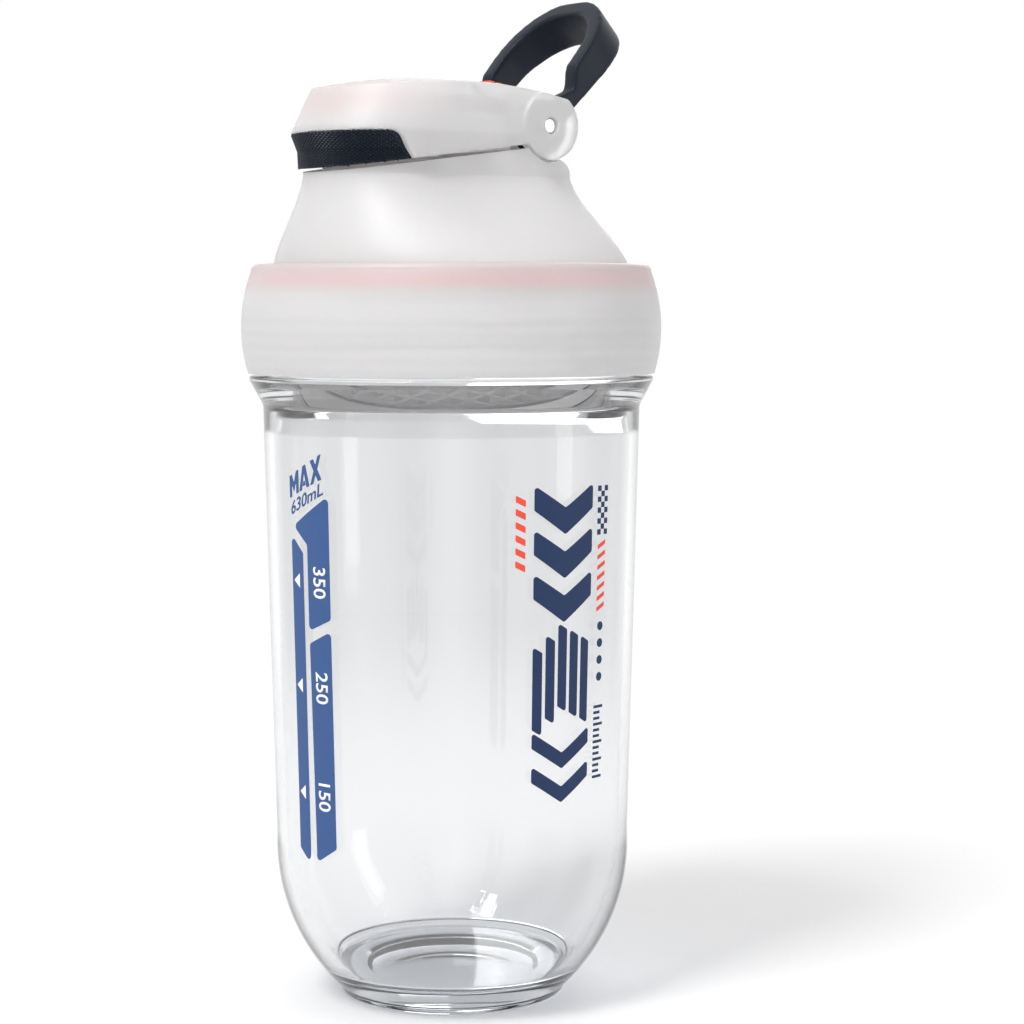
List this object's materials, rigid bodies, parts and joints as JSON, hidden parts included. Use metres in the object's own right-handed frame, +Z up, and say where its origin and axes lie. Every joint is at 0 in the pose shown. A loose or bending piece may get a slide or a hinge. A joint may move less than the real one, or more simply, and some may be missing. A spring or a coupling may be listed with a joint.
{
  "type": "protein shaker bottle",
  "caption": "Clear shaker cup with a frosted screw-on lid, a flip cap over its drinking spout and a folding carry loop.",
  "frame": {"origin": "centre of the cup's foot, on the cup's axis, at the surface it stands on", "axes": "+Z up along the cup's axis, -Y towards the spout, +Y towards the hinge, X along the hinge pin"},
  "size_m": [0.0914, 0.0914, 0.2192],
  "materials": {
    "clear_plastic": "clear glossy copolyester",
    "frosted_plastic": "frosted translucent polypropylene",
    "white_plastic": "satin natural polypropylene",
    "coral_silicone": "soft matte silicone",
    "navy_rubber": "soft-touch elastomer",
    "steel": "ground stainless"
  },
  "bodies": {
    "cup": {"cup": "clear_plastic"},
    "seal_ring": {"lid_gasket": "coral_silicone"},
    "lid": {"lid_shell": "frosted_plastic", "hinge_pin": "steel"},
    "grid": {"mixing_grid": "white_plastic"},
    "cap": {"cap_shell": "frosted_plastic", "cap_liner": "white_plastic", "spout_seal": "coral_silicone", "thumb_grip": "navy_rubber", "loop_bumper": "coral_silicone"},
    "loop": {"carry_loop": "navy_rubber"}
  },
  "joints": [
    {"name": "lid_lift", "type": "slide", "parent": "cup", "child": "seal_ring", "axis": [0, 0, 1], "range_m": [0, 0.0101]},
    {"name": "lid_turn", "type": "hinge", "parent": "seal_ring", "child": "lid", "pos_m": [0, 0, 0.1577], "axis": [0, 0, 1], "range_deg": [0, 720]},
    {"name": "grid_pull", "type": "slide", "parent": "lid", "child": "grid", "axis": [0, 0, -1], "range_m": [0, 0.012]},
    {"name": "cap_flip", "type": "hinge", "parent": "lid", "child": "cap", "pos_m": [0, 0.01185, 0.18965], "axis": [-1, 0, 0], "range_deg": [0, 98]},
    {"name": "loop_swing", "type": "hinge", "parent": "lid", "child": "loop", "pos_m": [0, 0.01185, 0.18965], "axis": [-1, 0, 0], "range_deg": [-98, 64]}
  ],
  "couplings": [
    {"joint": "lid_lift", "follows": "lid_turn", "m_per_rad": 0.00079577}
  ]
}
